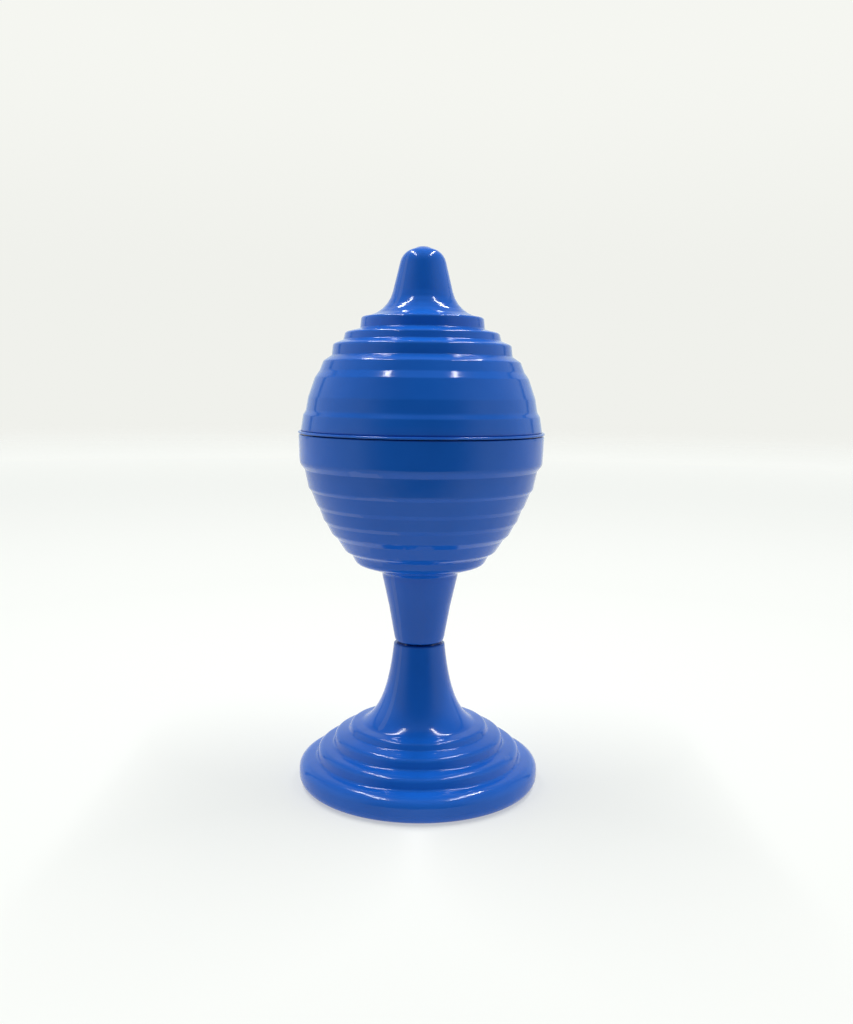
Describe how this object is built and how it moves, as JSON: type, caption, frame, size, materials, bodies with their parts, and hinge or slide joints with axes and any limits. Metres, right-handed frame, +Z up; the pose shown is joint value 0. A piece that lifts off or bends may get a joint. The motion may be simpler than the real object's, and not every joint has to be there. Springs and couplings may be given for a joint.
{
  "type": "ball and vase",
  "caption": "Small footed round vase with ringed bowl and lid, a ball inside and a false half ball on a thin ring that hides it; every piece lifts off.",
  "frame": {"origin": "on the ground, on the axis, under the middle of the foot", "axes": "+Z up along the axis of revolution, from the foot to the finial"},
  "size_m": [0.0454, 0.0454, 0.1],
  "materials": {
    "blue_plastic": "glossy moulded plastic, saturated cobalt blue",
    "ball_plastic": "glossy moulded plastic, red"
  },
  "bodies": {
    "vase": {"foot": "blue_plastic", "cup": "blue_plastic"},
    "ball": {"ball": "ball_plastic"},
    "shell": {"shell_ring": "blue_plastic", "half_ball": "ball_plastic"},
    "lid": {"lid": "blue_plastic"}
  },
  "joints": [
    {"name": "ball_lift", "type": "slide", "parent": "vase", "child": "ball", "axis": [0, 0, 1], "range_m": [0, 0.03]},
    {"name": "shell_lift", "type": "slide", "parent": "ball", "child": "shell", "axis": [0, 0, 1], "range_m": [0, 0.03]},
    {"name": "lid_lift", "type": "slide", "parent": "shell", "child": "lid", "axis": [0, 0, 1], "range_m": [0, 0.03]}
  ]
}
